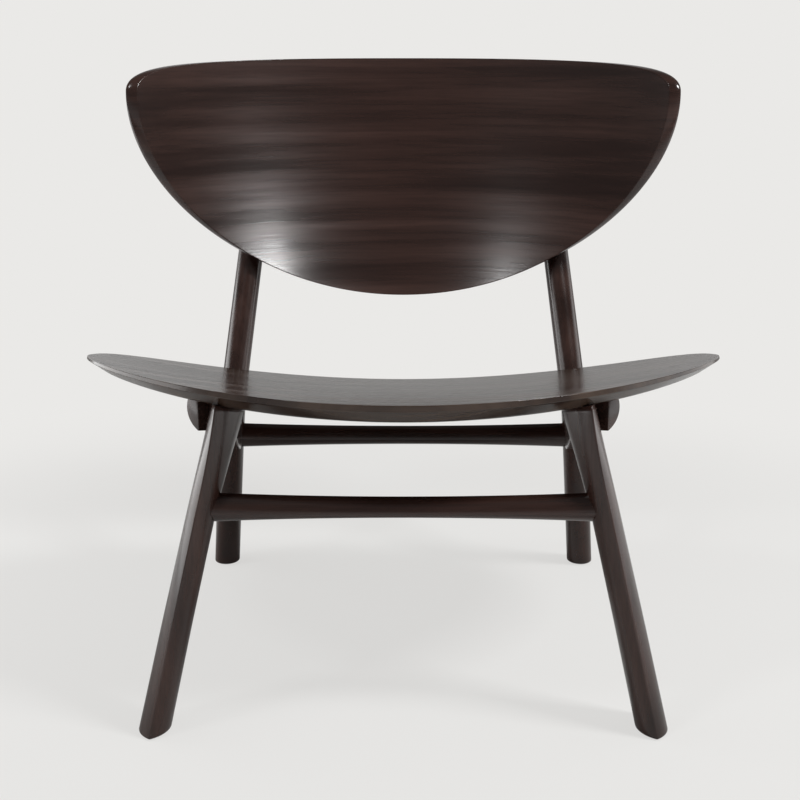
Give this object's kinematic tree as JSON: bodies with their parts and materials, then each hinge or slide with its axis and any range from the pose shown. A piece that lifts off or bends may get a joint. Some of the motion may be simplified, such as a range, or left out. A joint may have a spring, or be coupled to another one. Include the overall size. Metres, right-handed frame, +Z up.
{
  "type": "african birthing chair",
  "caption": "Low dark-stained wooden chair with a wide half-moon seat, a curved half-moon back and splayed legs.",
  "frame": {"origin": "centre of the chair's footprint box, on the floor under the four glides", "axes": "+X to the sitter's left, which is the right of the picture, -Y towards the front edge of the seat, +Z up"},
  "size_m": [0.7414, 0.6682, 0.7118],
  "materials": {
    "stained_wood": "dark umber stain under satin varnish",
    "dowel_wood": "plain",
    "zinc_steel": "zinc plated",
    "brass": "turned",
    "glide_plastic": "matte"
  },
  "bodies": {
    "root": {"seat_shell": "stained_wood", "backrest_shell": "stained_wood", "front_leg_right": "stained_wood", "front_leg_left": "stained_wood", "side_bearer_right": "stained_wood", "side_bearer_left": "stained_wood", "rear_leg_right": "stained_wood", "rear_leg_left": "stained_wood", "front_rail": "stained_wood", "rear_rail": "stained_wood", "back_plugs": "stained_wood", "seat_bolts": "zinc_steel", "seat_washers": "zinc_steel", "back_bolts": "zinc_steel", "back_washers": "zinc_steel", "seat_inserts": "brass", "back_inserts": "brass", "front_joint_dowels": "dowel_wood", "rear_joint_dowels": "dowel_wood", "foot_glides": "glide_plastic"}
  },
  "joints": []
}
